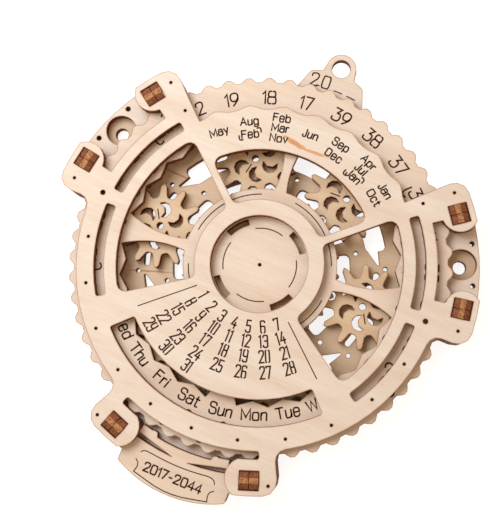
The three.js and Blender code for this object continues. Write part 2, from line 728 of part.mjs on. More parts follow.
function backPlate() {
  const ear = sideEar(housingInner, sideEarOuter, 0);
  const fillets = [
    flankFilletAt(housingOuter, earLowAngle, -1, flankFillet),
    flankFilletAt(housingOuter, down + bottomEarAngle, 1, flankFillet),
  ];
  const screw = disc(hanger[0], hanger[1] - hangerDrop, hangerScrew, discSides / 2);
  const cuts = [screw, mirrored(screw), ...hangerDots, ...hangerDots.map(mirrored), ...pegHoles];
  const opening = (inner, outer, from, to, corner = backCorner) => roundedSector(inner, outer, radial(from),
    radial(to), Array(4).fill(corner));
  const windowIn = planetCircle - gearWindowIn;
  const tail = planetCircle + tailOut;
  const pointed = (tip, root) =>
    [at(tail, tip), at(tail, root), at(windowIn, root), at(tail - tailPoint, tip)];
  const paired = [
    ...windowFromAngles.map((from, i) =>
      opening(windowIn, planetCircle + gearWindowOut, from, windowToAngles[i])),
    ...slotFromAngles.map((from, i) =>
      opening(planetCircle + slotIn, tail, from, slotToAngles[i], tailCorner)),
    ...tailTipAngles.map((tip, i) => pointed(tip, tailRootAngles[i])),
    ...backDotAngles.map((angle) => discAt(planetCircle + outerDotRise, angle, backDotRadius, dotSides)),
  ];
  cuts.push(...paired, ...paired.map(mirrored), opening(planetCircle - topWindowIn,
    planetCircle + topWindowOut, up - highWindowAngle, up + highWindowAngle));
  sunRibAngles.forEach((rib, i) => {
    const next = i + 1 < sunRibAngles.length ? sunRibAngles[i + 1] : sunRibAngles[0] + fullAngle;
    cuts.push(opening(planetCircle - sunWindowIn, planetCircle - sunWindowOut, rib + sunRibAngle,
      next - sunRibAngle));
  });
  for (let middle = up; middle < up + fullAngle; middle += fullAngle / planetAngles.length) {
    cuts.push(discAt(planetCircle - innerDotDrop, middle, backDotRadius, dotSides));
  }
  for (const angle of planetAngles) cuts.push(discAt(planetCircle, angle, axleHole, discSides / 2));
  const outlines = [arc(housingOuter, 0, fullAngle - arcAngle), ear, mirrored(ear), ...fillets,
    ...fillets.map(mirrored), bottomEars(housingInner, 0)];
  return sheet(backLevel, outlines, cuts);
}

// Half a peg: a strip on edge, chamfered where it enters and where it stands proud of the front
function pegHalf() {
  const reach = pegDepth / 2;
  const top = stackTop + pegProud;
  const profile = [
    [-reach + pegFootChamfer, backLevel], [reach - pegFootChamfer, backLevel],
    [reach, backLevel + pegFootChamfer], [reach, top - pegChamferRise], [reach - pegChamfer, top],
    [-reach + pegChamfer, top], [-reach, top - pegChamferRise], [-reach, backLevel + pegFootChamfer],
  ];
  const geometry = new THREE.ExtrudeGeometry(
    new THREE.Shape(profile.map(([x, y]) => new THREE.Vector2(x, y))),
    { depth: ply - pegSeam / 2, bevelEnabled: false, steps: 1 });
  geometry.rotateX(radians(90));
  return geometry;
}

// Finishes: fresh birch plywood faces, warmer on the gears, darker on the charred pegs
const faceWood = { color: 0xf0dcc4, roughness: 0.62, metalness: 0 };
const wheelWood = { color: 0xebd2bb, roughness: 0.64, metalness: 0 };
const gearWood = { color: 0xdec39c, roughness: 0.66, metalness: 0 };
const backWood = { color: 0xd8bf9e, roughness: 0.68, metalness: 0 };
const pegWood = { color: 0x8a5230, roughness: 0.7, metalness: 0 };

const calendar = new THREE.Group();

function place(name, geometry, finish, parent = calendar) {
  const mesh = new THREE.Mesh(geometry, new THREE.MeshStandardMaterial(finish));
  mesh.name = name;
  parent.add(mesh);
  return mesh;
}

place('back_plate', toGeometry(backPlate()), backWood);
place('housing_plate', toGeometry(housing()), faceWood);
place('ring_gear', toGeometry(ringGear()), gearWood);
place('sun_gear', toGeometry(sunGear()), gearWood);
planetAngles.forEach((angle, i) => {
  const mesh = place(`planet_gear_${i + 1}`, toGeometry(planetGear(angle, planetTurns[i])), gearWood);
  mesh.position.set(...at(planetCircle, angle), 0);
});
place('calendar_wheel', toGeometry(calendarWheel()), wheelWood);
place('right_spacer', toGeometry(upperSpacer()), faceWood);
place('left_spacer', toGeometry(upperSpacer().mirror([1, 0, 0])), faceWood);
place('right_lower_spacer', toGeometry(lowerSpacer()), faceWood);
place('left_lower_spacer', toGeometry(lowerSpacer().mirror([1, 0, 0])), faceWood);
place('spring_plate', toGeometry(springPlate()), faceWood);
place('front_plate', toGeometry(frontPlate()), faceWood);
for (const { name, circle, angle } of pegs) {
  const socket = new THREE.Group();
  socket.rotation.z = radians(angle);
  socket.position.set(...at(circle, angle), 0);
  calendar.add(socket);
  place(`peg_${name}_a`, pegHalf(), pegWood, socket).position.y = ply;
  place(`peg_${name}_b`, pegHalf(), pegWood, socket).position.y = -pegSeam / 2;
}

export default calendar;
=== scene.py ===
"""A perpetual desk calendar in laser-cut birch plywood, dressed for a soft studio.

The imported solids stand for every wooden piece. This file gives them their plywood faces and
scorched edges, engraves the dial's words and numbers, and lays the calendar on a white table.
Lengths are millimetres here and become metres where Blender takes them. The calendar lies on
its back: +Z points at the reader and +Y at the hanging loop.
"""

from __future__ import annotations

import json
import logging
import math
from collections.abc import Sequence
from dataclasses import dataclass, field, replace
from enum import Enum

import bmesh
import bpy
from mathutils import Euler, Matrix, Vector

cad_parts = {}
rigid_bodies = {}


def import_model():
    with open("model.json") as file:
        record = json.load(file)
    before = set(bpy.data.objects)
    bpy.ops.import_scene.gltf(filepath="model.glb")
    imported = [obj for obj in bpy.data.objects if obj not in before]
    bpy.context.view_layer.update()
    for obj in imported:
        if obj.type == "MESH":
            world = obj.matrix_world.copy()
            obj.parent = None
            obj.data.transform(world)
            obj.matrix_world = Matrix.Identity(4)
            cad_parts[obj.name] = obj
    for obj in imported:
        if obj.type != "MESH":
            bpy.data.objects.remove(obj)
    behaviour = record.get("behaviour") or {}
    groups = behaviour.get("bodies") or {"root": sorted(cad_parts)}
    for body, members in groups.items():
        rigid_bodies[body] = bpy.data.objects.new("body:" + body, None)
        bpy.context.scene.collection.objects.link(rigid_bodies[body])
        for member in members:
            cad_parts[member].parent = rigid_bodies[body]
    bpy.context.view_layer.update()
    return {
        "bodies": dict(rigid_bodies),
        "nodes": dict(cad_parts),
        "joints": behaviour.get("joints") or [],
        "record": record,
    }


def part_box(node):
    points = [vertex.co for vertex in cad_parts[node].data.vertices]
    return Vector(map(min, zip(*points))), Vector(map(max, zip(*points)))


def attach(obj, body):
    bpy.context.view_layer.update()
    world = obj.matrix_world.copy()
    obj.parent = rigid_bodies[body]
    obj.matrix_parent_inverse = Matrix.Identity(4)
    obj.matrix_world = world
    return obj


LOG = logging.getLogger("calendar")
MM = 0.001
FULL_TURN = 360.0

Point = tuple[float, float]
Path = tuple[Point, ...]
Place = tuple[float, float, float]
Tree = bpy.types.NodeTree
Socket = bpy.types.NodeSocket
Material = bpy.types.Material
Shape = bmesh.types.BMesh
Corner = bmesh.types.BMVert

# The thickness of every sheet, and the step from one sheet to the next
PLY = 3.0
PITCH = 3.3

# Years and weekday names round the dial. The cover's columns keep the same step
LABELS = 28

PLANETS = (1, 2, 3, 4, 5, 6)

# Inputs of a Mix node that mixes numbers, and inputs and output of one that mixes colours
MIX_NUMBERS = (2, 3)
MIX_COLOURS = (6, 7)
MIXED_COLOUR = 2


class Layer(Enum):
    """The sheets that carry engraving, by the height of their upper face in millimetres."""

    GEARS = PITCH + PLY
    DIAL = 2 * PITCH + PLY
    FRONT = 3 * PITCH + PLY


class Facing(Enum):
    """Which way the top of a word points on the dial."""

    OUTWARD = 1
    INWARD = -1


def linear(code: str) -> tuple[float, float, float, float]:
    """Turns an sRGB hex colour into the linear RGBA that shaders take.

    Args:
        code: Six hex digits, red first.

    Returns:
        Linear red, green and blue, with an alpha of one.
    """
    channels = []
    for start in (0, 2, 4):
        value = int(code[start : start + 2], 16) / 255
        low = value <= 0.04045
        channels.append(value / 12.92 if low else ((value + 0.055) / 1.055) ** 2.4)
    return (*channels, 1.0)


def polar(radius: float, degrees: float) -> Point:
    """Returns the point at a radius and an angle round the dial's axis."""
    angle = math.radians(degrees)
    return (radius * math.cos(angle), radius * math.sin(angle))


def add_node(
    tree: Tree, kind: str, values: dict[str | int, object] | None = None
) -> bpy.types.Node:
    """Adds one shader node. A socket among the values is linked, and anything else is set.

    Args:
        tree: The material's or world's node tree.
        kind: Blender's name of the node type.
        values: What goes into an input, by its name or number, or into a property.

    Returns:
        The new node.
    """
    node = tree.nodes.new(kind)
    for name, value in (values or {}).items():
        if isinstance(value, Socket):
            tree.links.new(value, node.inputs[name])
        elif isinstance(name, int) or name in node.inputs:
            node.inputs[name].default_value = value
        else:
            setattr(node, name, value)
    return node


def remap(tree: Tree, value: Socket, start: Point, end: Point = (0.0, 1.0)) -> Socket:
    """Returns a value moved from one range into another."""
    ranges = {"From Min": start[0], "From Max": start[1], "To Min": end[0], "To Max": end[1]}
    return add_node(tree, "ShaderNodeMapRange", {**ranges, "Value": value}).outputs[0]


def compute(tree: Tree, operation: str, *values: Socket | float) -> Socket:
    """Returns the outcome of one sum on up to three sockets or numbers."""
    terms = {"operation": operation, **dict(enumerate(values))}
    return add_node(tree, "ShaderNodeMath", terms).outputs[0]


def mix(tree: Tree, share: Socket, under: Socket | str, over: Socket | str) -> Socket:
    """Lays one colour over another.

    Args:
        tree: The node tree.
        share: How much of the upper colour shows, from 0 to 1.
        under: The lower colour, as a socket or a hex code.
        over: The upper colour, as a socket or a hex code.

    Returns:
        The mixed colour.
    """
    values: dict[str | int, object] = {"data_type": "RGBA", "Factor": share}
    for place, colour in zip(MIX_COLOURS, (under, over)):
        values[place] = linear(colour) if isinstance(colour, str) else colour
    return add_node(tree, "ShaderNodeMix", values).outputs[MIXED_COLOUR]


def ramp(tree: Tree, share: Socket, bands: tuple[tuple[float, str], ...]) -> Socket:
    """Adds a colour ramp.

    Args:
        tree: The node tree.
        share: The place along the ramp, from 0 to 1.
        bands: Places with their hex colours, the first and the last of the ramp included.

    Returns:
        The ramp's colour.
    """
    node = add_node(tree, "ShaderNodeValToRGB", {0: share})
    elements = node.color_ramp.elements
    for element, (position, code) in zip(elements, (bands[0], bands[-1])):
        element.position = position
        element.color = linear(code)
    for position, code in bands[1:-1]:
        elements.new(position).color = linear(code)
    return node.outputs[0]


def new_material(name: str) -> tuple[Material, Tree]:
    """Returns an empty node material of that name, and its node tree."""
    material = bpy.data.materials.new(name)
    material.use_nodes = True
    material.node_tree.nodes.clear()
    return material, material.node_tree


def add_object(name: str, shape: Shape, material: Material) -> bpy.types.Object:
    """Turns a finished shape into an object of the scene.

    Args:
        name: The name of the object and its mesh.
        shape: The shape, which is freed.
        material: Its only material.

    Returns:
        The object.
    """
    mesh = bpy.data.meshes.new(name)
    shape.to_mesh(mesh)
    shape.free()
    mesh.materials.append(material)
    piece = bpy.data.objects.new(name, mesh)
    bpy.context.scene.collection.objects.link(piece)
    return piece


@dataclass(frozen=True)
class Surface:
    """How a finish meets the light, whatever its colour. The relief is in millimetres."""

    roughness: float
    gloss: float
    relief: float
    relief_strength: float

    def close(self, tree: Tree, colour: Socket, height: Socket) -> None:
        """Adds the relief, the shader and the output to a material.

        Args:
            tree: The material's node tree.
            colour: The finished colour.
            height: The noise that raises and sinks the surface.
        """
        relief = {"Strength": self.relief_strength, "Distance": self.relief * MM, "Height": height}
        look = {
            "Base Color": colour,
            "Roughness": self.roughness,
            "Specular IOR Level": self.gloss,
            "Normal": add_node(tree, "ShaderNodeBump", relief).outputs[0],
        }
        shader = add_node(tree, "ShaderNodeBsdfPrincipled", look)
        add_node(tree, "ShaderNodeOutputMaterial", {"Surface": shader.outputs[0]})


@dataclass(frozen=True)
class Marks:
    """One kind of noise mark, by its size in millimetres along X, Y and Z.

    It shows where the noise lies between the two levels, up to a strength of depth.
    """

    size: Place
    detail: float
    levels: Point = (0.0, 1.0)
    depth: float = 1.0
    roughness: float = 0.6

    def noise(self, tree: Tree, place: Socket) -> Socket:
        """Adds the noise itself.

        Args:
            tree: The material's node tree.
            place: The coordinates on which it lies.

        Returns:
            The noise factor.
        """
        scale = tuple(1 / (side * MM) for side in self.size)
        mapping = add_node(tree, "ShaderNodeMapping", {"Scale": scale, "Vector": place})
        look = {
            "Scale": 1.0,
            "Detail": self.detail,
            "Roughness": self.roughness,
            "Vector": mapping.outputs[0],
        }
        return add_node(tree, "ShaderNodeTexNoise", look).outputs[0]

    def shown(self, tree: Tree, noise: Socket) -> Socket:
        """Returns how strongly the marks show, from their noise."""
        return remap(tree, noise, self.levels, (0.0, self.depth))


@dataclass(frozen=True)
class Streak:
    """A long thin mark that grew in the veneer, as a spindle between two points of a sheet.

    Its edge wanders in and out on ragged noise, by a share of its half width.
    """

    start: Point
    end: Point
    width: float
    colour: str
    strength: float
    ragged: Marks = Marks((3.0, 0.8, 0.8), 3.0)
    wander: float = 0.8
    edge: Point = (0.6, 1.1)


# The orange knot streak below the month names, and thin red heartwood behind the gears
KNOT = (
    Streak((-8.4, 41.7), (-0.6, 40.2), 2.0, "D9955C", 0.9),
    Streak((-3.5, 40.1), (9.6, 40.6), 1.2, "DDA06A", 0.85),
)
HEARTWOOD = (
    Streak((-43.0, 18.7), (-32.5, 18.3), 0.7, "B5713F", 0.8),
    Streak((-43.5, -18.3), (-25.5, -12.4), 0.7, "B5713F", 0.7),
)

# The fibre lines of birch, as on the cover, and as on the dial. They are really 0.1 mm wide,
# which would be too fine to show
FIBRE = Marks((9.0, 0.35, 0.35), 2.0, (0.35, 0.75), 0.5)
LONG_FIBRE = replace(FIBRE, size=(11.0, 0.35, 0.35))


@dataclass(frozen=True)
class BirchPlywood:
    """Three-ply birch sheet, sanded, laser-cut and left bare.

    A dry, matt and nearly white face with fine tan fibre lines along the sheet, and cut edges
    that the beam has burnt brown, with a paler core between two darker skins.
    """

    name: str
    pale: str
    tan: str
    skin: str = "6E3610"
    core: str = "9A5214"
    soot: str = "361A08"
    fleck: str = "B98A5E"
    surface: Surface = Surface(0.72, 0.2, 0.04, 0.25)
    # The figure is the growth rings' broad cut, and the dashes are the short brown flecks
    # that tell birch from other pale woods
    figure: Marks = Marks((55.0, 7.0, 7.0), 4.0, (0.35, 0.7), 0.8)
    fibre: Marks = FIBRE
    dash: Marks = Marks((1.6, 0.22, 0.22), 1.0, (0.68, 0.8), 0.4)
    relief_detail: float = 3.0
    # How far the beam's heat browns the face, how strongly, and from which share of cover on
    rim: float = 0.45
    rim_strength: float = 0.75
    rim_cover: Point = (0.55, 0.95)
    rim_samples: int = 8
    # The beam's steps stand upright on a wall, about 0.1 mm apart. Here they are 0.7 mm
    # apart, or they would be too fine to show
    burn: Marks = Marks((0.7, 0.7, 8.75), 2.0, (0.4, 0.75), 0.6, roughness=0.5)
    face_slope: float = 0.5
    streaks: tuple[Streak, ...] = ()

    def material(self) -> Material:
        """Builds the plywood material.

        Returns:
            A material whose faces show grain and whose cut walls show burnt plies.
        """
        material, tree = new_material(self.name)
        place = add_node(tree, "ShaderNodeTexCoord").outputs
        face = self._rim(tree, self._face(tree, place["Object"]))
        wall = self._wall(tree, place["Object"])
        normal = add_node(tree, "ShaderNodeSeparateXYZ", {0: place["Normal"]})
        upright = compute(tree, "ABSOLUTE", normal.outputs["Z"])
        is_face = compute(tree, "GREATER_THAN", upright, self.face_slope)
        relief = replace(self.fibre, detail=self.relief_detail).noise(tree, place["Object"])
        self.surface.close(tree, mix(tree, is_face, wall, face), relief)
        return material

    def _rim(self, tree: Tree, face: Socket) -> Socket:
        """Browns the face along every cut, where the beam's heat reaches a little way in.

        Args:
            tree: The material's node tree.
            face: The face colour.

        Returns:
            The face colour with its scorched rim.
        """
        reach = {
            "inside": True,
            "only_local": True,
            "samples": self.rim_samples,
            "Distance": self.rim * MM,
        }
        near = add_node(tree, "ShaderNodeAmbientOcclusion", reach).outputs["AO"]
        amount = remap(tree, near, self.rim_cover, (self.rim_strength, 0.0))
        return mix(tree, amount, face, self.core)

    def _face(self, tree: Tree, place: Socket) -> Socket:
        """Adds the colour of the sanded face.

        Args:
            tree: The material's node tree.
            place: The object's coordinates.

        Returns:
            The face colour.
        """
        figure, fibre, dash = (
            marks.shown(tree, marks.noise(tree, place))
            for marks in (self.figure, self.fibre, self.dash)
        )
        colour = mix(tree, compute(tree, "ADD", figure, fibre), self.pale, self.tan)
        colour = mix(tree, dash, colour, self.fleck)
        for streak in self.streaks:
            colour = self._streak(tree, place, streak, colour)
        return colour

    def _streak(self, tree: Tree, place: Socket, streak: Streak, under: Socket) -> Socket:
        """Lays one grown mark over the face colour.

        Args:
            tree: The material's node tree.
            place: The object's coordinates.
            streak: The mark.
            under: The colour below it.

        Returns:
            The face colour with the mark on it.
        """
        (ax, ay), (bx, by) = streak.start, streak.end
        length = math.hypot(bx - ax, by - ay)
        spindle = {
            "vector_type": "TEXTURE",
            "Location": ((ax + bx) / 2 * MM, (ay + by) / 2 * MM, 0.0),
            "Rotation": (0.0, 0.0, math.atan2(by - ay, bx - ax)),
            "Scale": (length / 2 * MM, streak.width / 2 * MM, 1.0),
            "Vector": place,
        }
        local = add_node(tree, "ShaderNodeMapping", spindle).outputs[0]
        reach = add_node(tree, "ShaderNodeVectorMath", {"operation": "LENGTH", 0: local})
        ragged = streak.ragged.noise(tree, place)
        wander = compute(tree, "MULTIPLY_ADD", ragged, 2 * streak.wander, -streak.wander)
        edge = compute(tree, "ADD", reach.outputs["Value"], wander)
        shown = remap(tree, edge, streak.edge, (streak.strength, 0.0))
        return mix(tree, shown, under, streak.colour)

    def _wall(self, tree: Tree, place: Socket) -> Socket:
        """Adds the colour of the burnt cut walls, ply by ply.

        Args:
            tree: The material's node tree.
            place: The object's coordinates.

        Returns:
            The wall colour.
        """
        height = add_node(tree, "ShaderNodeSeparateXYZ", {0: place}).outputs["Z"]
        within = compute(tree, "FLOORED_MODULO", height, PITCH * MM)
        share = compute(tree, "DIVIDE", within, PLY * MM)
        bands = (
            (0.28, self.skin),
            (0.38, self.core),
            (0.62, self.core),
            (0.72, self.skin),
            (0.96, self.soot),
        )
        plies = ramp(tree, share, bands)
        dark = self.burn.shown(tree, self.burn.noise(tree, place))
        return mix(tree, dark, plies, self.soot)


@dataclass(frozen=True)
class PegEndGrain:
    """Birch plywood seen on its laser-cut ends, as on the split pegs.

    Reddish scorched skins either side of a golden core, mottled where the beam burnt deeper.
    """

    name: str
    turn: float
    centre: Point
    depth: float = 5.8
    scorched: str = "96593C"
    golden: str = "C98F5E"
    glue: str = "6E4028"
    soot: str = "4A2818"
    # End grain is really 0.2 to 0.3 mm across. Here it is 0.9 mm, or it would be too fine
    burn: Marks = Marks((0.9, 0.9, 0.9), 4.0, (0.42, 0.64), 0.7, roughness=0.65)
    surface: Surface = Surface(0.8, 0.3, 0.08, 0.4)

    def material(self) -> Material:
        """Builds the end-grain material for a peg that stands at an angle round the dial.

        Returns:
            A material with its plies across the dial's radius.
        """
        material, tree = new_material(self.name)
        stand = {
            "vector_type": "TEXTURE",
            "Location": (self.centre[0] * MM, self.centre[1] * MM, 0.0),
            "Rotation": (0.0, 0.0, math.radians(self.turn)),
            "Vector": add_node(tree, "ShaderNodeTexCoord").outputs["Object"],
        }
        local = add_node(tree, "ShaderNodeMapping", stand).outputs[0]
        across = add_node(tree, "ShaderNodeSeparateXYZ", {0: local}).outputs["X"]
        half = self.depth / 2 * MM
        bands = (
            (0.0, self.soot),
            (0.08, self.scorched),
            (0.27, self.scorched),
            (0.3, self.glue),
            (0.36, self.golden),
            (0.62, self.golden),
            (0.68, self.glue),
            (0.72, self.scorched),
            (0.92, self.scorched),
            (1.0, self.soot),
        )
        plies = ramp(tree, remap(tree, across, (-half, half)), bands)
        grain = self.burn.noise(tree, local)
        dark = self.burn.shown(tree, grain)
        self.surface.close(tree, mix(tree, dark, plies, self.soot), grain)
        return material


@dataclass(frozen=True)
class LaserChar:
    """Charred birch in a line that the laser has engraved.

    A dull black-brown that never shines, a little paler where the beam moved fast.
    """

    name: str = "laser_charred_birch"
    deep: str = "2E1C14"
    light: str = "5F3F2C"
    patches: Marks = Marks((0.8, 0.8, 0.8), 3.0, (0.35, 0.75), roughness=0.5)
    surface: Surface = Surface(0.95, 0.15, 0.05, 0.5)

    def material(self) -> Material:
        """Builds the charred material.

        Returns:
            The material of every engraved line.
        """
        material, tree = new_material(self.name)
        place = add_node(tree, "ShaderNodeTexCoord").outputs["Object"]
        patches = self.patches.noise(tree, place)
        colour = mix(tree, self.patches.shown(tree, patches), self.deep, self.light)
        self.surface.close(tree, colour, patches)
        return material


@dataclass(frozen=True)
class StudioWhite:
    """Matt white table paper that the camera sees as white, with the shadow kept on it."""

    name: str = "matt_white_table_paper"
    colour: str = "C8C7C9"
    glow: float = 0.83
    roughness: float = 0.9
    gloss: float = 0.1

    def material(self) -> Material:
        """Builds the table's material.

        Returns:
            A material that adds light only where the camera, a gloss or a clear piece looks.
        """
        material, tree = new_material(self.name)
        look = {
            "Base Color": linear(self.colour),
            "Roughness": self.roughness,
            "Specular IOR Level": self.gloss,
        }
        shader = add_node(tree, "ShaderNodeBsdfPrincipled", look)
        path = add_node(tree, "ShaderNodeLightPath").outputs
        seen = path["Is Camera Ray"]
        for ray in ("Is Glossy Ray", "Is Transmission Ray"):
            seen = compute(tree, "MAXIMUM", seen, path[ray])
        strength = compute(tree, "MULTIPLY", seen, self.glow)
        glow = add_node(tree, "ShaderNodeEmission", {"Strength": strength})
        both = add_node(tree, "ShaderNodeAddShader", {0: shader.outputs[0], 1: glow.outputs[0]})
        add_node(tree, "ShaderNodeOutputMaterial", {"Surface": both.outputs[0]})
        return material


@dataclass(frozen=True)
class Glyph:
    """One letter or figure as laser strokes, in shares of its height."""

    width: float
    lines: tuple[Path, ...] = ()
    curves: tuple[Path, ...] = ()

    def turned(self) -> Glyph:
        """Returns the glyph turned half round."""
        return Glyph(self.width, self._flipped(self.lines), self._flipped(self.curves))

    def _flipped(self, paths: tuple[Path, ...]) -> tuple[Path, ...]:
        """Returns paths turned half round within the glyph's width and height."""
        return tuple(tuple((self.width - x, 1 - y) for x, y in path) for path in paths)


# Round figures, as on the years
ROUND_SIX = Glyph(
    0.6,
    curves=(
        (
            (0.44, 1), (0.16, 0.72), (0, 0.5), (0, 0), (0.6, 0), (0.6, 0.64), (0.16, 0.66),
            (0.02, 0.4),
        ),
    ),
)
ROUND = {
    "0": Glyph(
        0.6,
        curves=(
            ((0.25, 1), (0, 1), (0, 0), (0.25, 0)),
            ((0.35, 1), (0.6, 1), (0.6, 0), (0.35, 0)),
        ),
    ),
    "1": Glyph(0.22, lines=(((0, 0.77), (0.2, 1), (0.2, 0)),)),
    "2": Glyph(
        0.6,
        lines=(((0.02, 0), (0.6, 0)),),
        curves=(((0.03, 0.74), (0.03, 1), (0.57, 1.03), (0.57, 0.62), (0.3, 0.36), (0.02, 0)),),
    ),
    "3": Glyph(
        0.6,
        lines=(((0.05, 1), (0.52, 1), (0.27, 0.6)),),
        curves=(((0.27, 0.6), (0.6, 0.62), (0.62, 0), (0, -0.03), (0, 0.22)),),
    ),
    "4": Glyph(0.6, lines=(((0.45, 0), (0.45, 1), (0, 0.28), (0.6, 0.28)),)),
    "5": Glyph(
        0.6,
        lines=(((0.53, 1), (0.1, 1), (0.06, 0.54)),),
        curves=(((0.06, 0.54), (0.24, 0.66), (0.6, 0.66), (0.62, 0), (0.02, -0.04), (0, 0.2)),),
    ),
    "6": ROUND_SIX,
    "7": Glyph(0.58, lines=(((0, 1), (0.57, 1), (0.2, 0)),)),
    "8": Glyph(
        0.6,
        curves=(
            ((0.23, 1), (0.04, 1), (0, 0.56), (0.3, 0.54), (0.6, 0.56), (0.56, 1), (0.37, 1)),
            ((0.23, 0), (-0.02, 0), (-0.02, 0.54), (0.3, 0.54), (0.62, 0.54), (0.62, 0), (0.37, 0)),
        ),
    ),
    "9": ROUND_SIX.turned(),
    "-": Glyph(0.4, lines=(((0.05, 0.4), (0.35, 0.4)),)),
    "(": Glyph(0.1, curves=(((0, 0.4), (0, -0.14), (0.08, -0.42), (0.34, -0.48), (0.52, -0.36)),)),
    ")": Glyph(
        0.1,
        curves=(((0.1, 0.6), (0.1, 1.14), (0.02, 1.42), (-0.24, 1.48), (-0.42, 1.36)),),
    ),
}

# Narrow figures with cut corners, as on the dates
NARROW_SIX = Glyph(
    0.4,
    lines=(
        ((0.38, 0.86), (0.38, 0.93), (0.31, 1), (0.1, 1), (0.03, 0.93), (0.03, 0.07), (0.1, 0)),
        ((0.03, 0.55), (0.31, 0.55), (0.38, 0.48), (0.38, 0.07), (0.31, 0)),
    ),
)
NARROW = {
    "0": Glyph(
        0.4,
        lines=(
            ((0.1, 1), (0.04, 0.95), (0.04, 0.05), (0.1, 0)),
            ((0.3, 1), (0.36, 0.95), (0.36, 0.05), (0.3, 0)),
        ),
    ),
    "1": Glyph(0.2, lines=(((0, 0.9), (0.12, 1), (0.12, 0)),)),
    "2": Glyph(
        0.4,
        lines=(
            (
                (0.02, 0.82), (0.02, 0.93), (0.09, 1), (0.31, 1), (0.38, 0.93), (0.38, 0.68),
                (0.02, 0), (0.4, 0),
            ),
        ),
    ),
    "3": Glyph(
        0.4,
        lines=(
            (
                (0.02, 0.84), (0.02, 0.93), (0.09, 1), (0.31, 1), (0.38, 0.93), (0.38, 0.6),
                (0.3, 0.53), (0.14, 0.53),
            ),
            (
                (0.3, 0.53), (0.38, 0.46), (0.38, 0.07), (0.31, 0), (0.09, 0), (0.02, 0.07),
                (0.02, 0.16),
            ),
        ),
    ),
    "4": Glyph(0.4, lines=(((0.26, 1), (0, 0.3), (0.4, 0.3)), ((0.28, 0.55), (0.28, 0)))),
    "5": Glyph(
        0.4,
        lines=(
            (
                (0.37, 1), (0.05, 1), (0.05, 0.55), (0.31, 0.58), (0.38, 0.5), (0.38, 0.07),
                (0.31, 0), (0.09, 0), (0.02, 0.07), (0.02, 0.16),
            ),
        ),
    ),
    "6": NARROW_SIX,
    "7": Glyph(0.4, lines=(((0.02, 0.88), (0.02, 1), (0.38, 1), (0.2, 0)),)),
    "8": Glyph(
        0.4,
        lines=(
            (
                (0.11, 1), (0.04, 0.93), (0.04, 0.6), (0.1, 0.53), (0.03, 0.46), (0.03, 0.07),
                (0.1, 0),
            ),
            (
                (0.29, 1), (0.36, 0.93), (0.36, 0.6), (0.3, 0.53), (0.37, 0.46), (0.37, 0.07),
                (0.3, 0),
            ),
            ((0.1, 0.53), (0.3, 0.53)),
        ),
    ),
    "9": NARROW_SIX.turned(),
}

